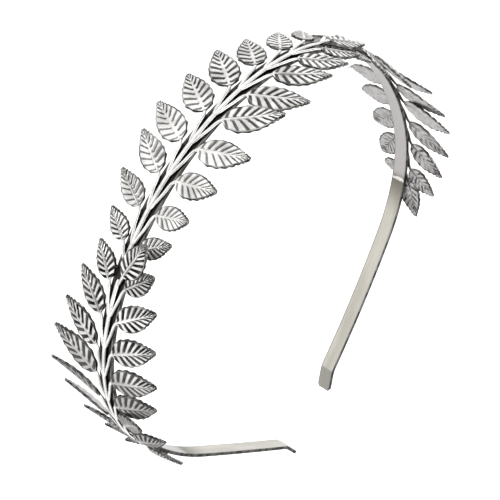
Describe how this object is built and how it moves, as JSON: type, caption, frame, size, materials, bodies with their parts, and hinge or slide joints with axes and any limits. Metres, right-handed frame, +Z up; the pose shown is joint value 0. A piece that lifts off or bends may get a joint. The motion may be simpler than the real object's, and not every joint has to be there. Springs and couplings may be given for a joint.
{
  "type": "laurel wreath crown",
  "caption": "Open metal head band bent like a horseshoe, with stamped laurel branches soldered end to end along its outer face and veined leaves spread to both sides.",
  "frame": {"origin": "middle of the footprint, on the surface that the crown lies on", "axes": "+Z up; the band lies on its side in the XY plane, with the top of the head towards -Y and the two free ends towards +Y; +X is towards the free end that the branches begin at"},
  "size_m": [0.1222, 0.1502, 0.0347],
  "materials": {
    "band_metal": "satin",
    "leaf_metal": "polished fronts, satin backs"
  },
  "bodies": {
    "root": {"band": "band_metal", "left_branch": "leaf_metal", "middle_branch": "leaf_metal", "right_branch": "leaf_metal"}
  },
  "joints": []
}
